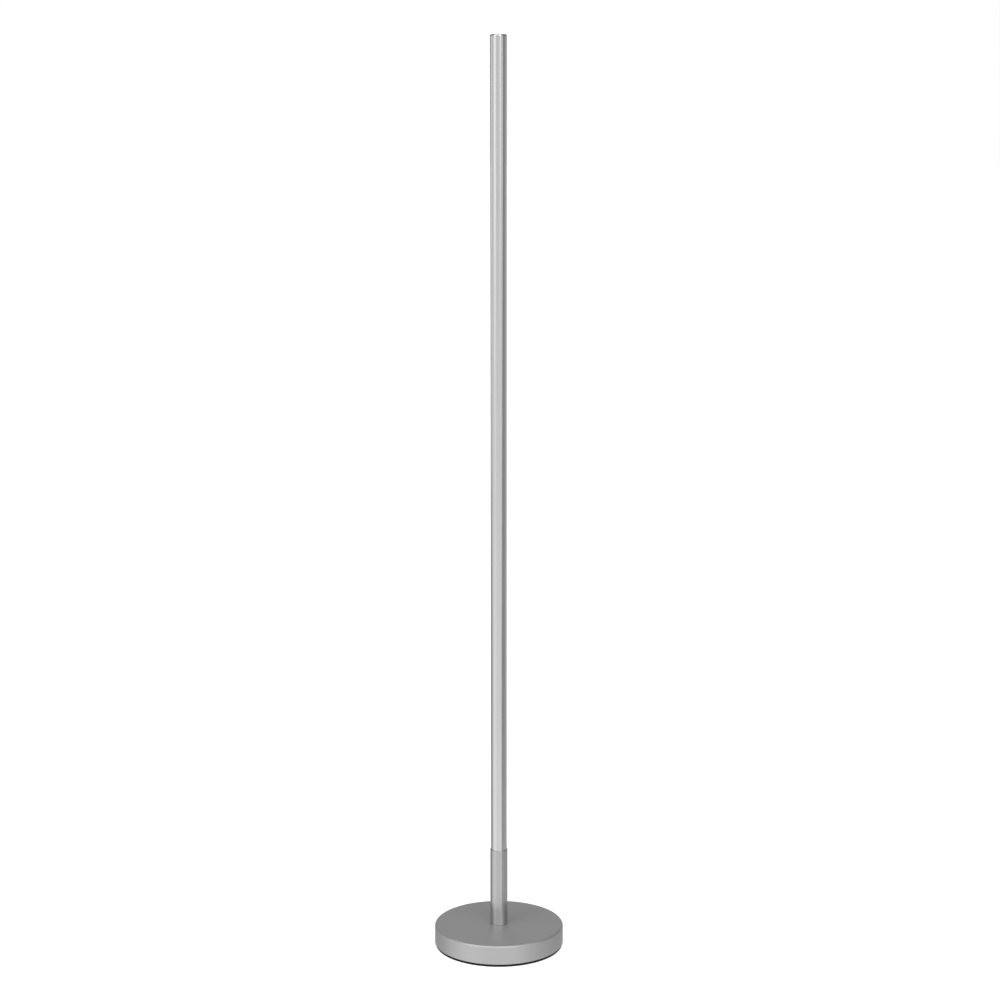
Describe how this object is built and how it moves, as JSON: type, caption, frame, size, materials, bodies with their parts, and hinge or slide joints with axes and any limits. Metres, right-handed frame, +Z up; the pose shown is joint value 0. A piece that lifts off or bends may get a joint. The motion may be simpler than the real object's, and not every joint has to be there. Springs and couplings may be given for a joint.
{
  "type": "flag pole stand",
  "caption": "Free-standing flag pole: a plain round tube set in a short upright socket on a heavy round foot with a rounded top edge.",
  "frame": {"origin": "on the floor at the centre of the foot, under the pole's axis", "axes": "+Z up along the pole; the object is round about Z, so X and Y are free"},
  "size_m": [0.26, 0.26, 1.819],
  "materials": {
    "pad_rubber": "matte, finely grained",
    "cast_iron": "as cast, primed dark grey",
    "satin_grey_paint": "satin silver-grey powder coat",
    "zinc_plated_steel": "bright zinc plate",
    "plain_steel": "turned, oiled",
    "anodised_aluminium": "satin clear anodised",
    "black_plastic": "moulded",
    "polished_cap": "bright plated"
  },
  "bodies": {
    "foot": {"floor_pad": "pad_rubber", "base_weight": "cast_iron", "base_cover": "satin_grey_paint", "fixing_bolt": "zinc_plated_steel", "spring_washer": "zinc_plated_steel", "flat_washer": "zinc_plated_steel", "socket_tube": "satin_grey_paint", "socket_plug": "plain_steel"},
    "seat": {"seat_disc": "pad_rubber"},
    "pole": {"pole_tube": "anodised_aluminium", "pole_foot_plug": "black_plastic", "pole_top_cap": "polished_cap"}
  },
  "joints": [
    {"name": "pole_turn", "type": "hinge", "parent": "foot", "child": "seat", "pos_m": [0, 0, 0.062], "axis": [0, 0, 1], "continuous": true},
    {"name": "pole_lift", "type": "slide", "parent": "seat", "child": "pole", "axis": [0, 0, 1], "range_m": [0, 0.16]}
  ]
}
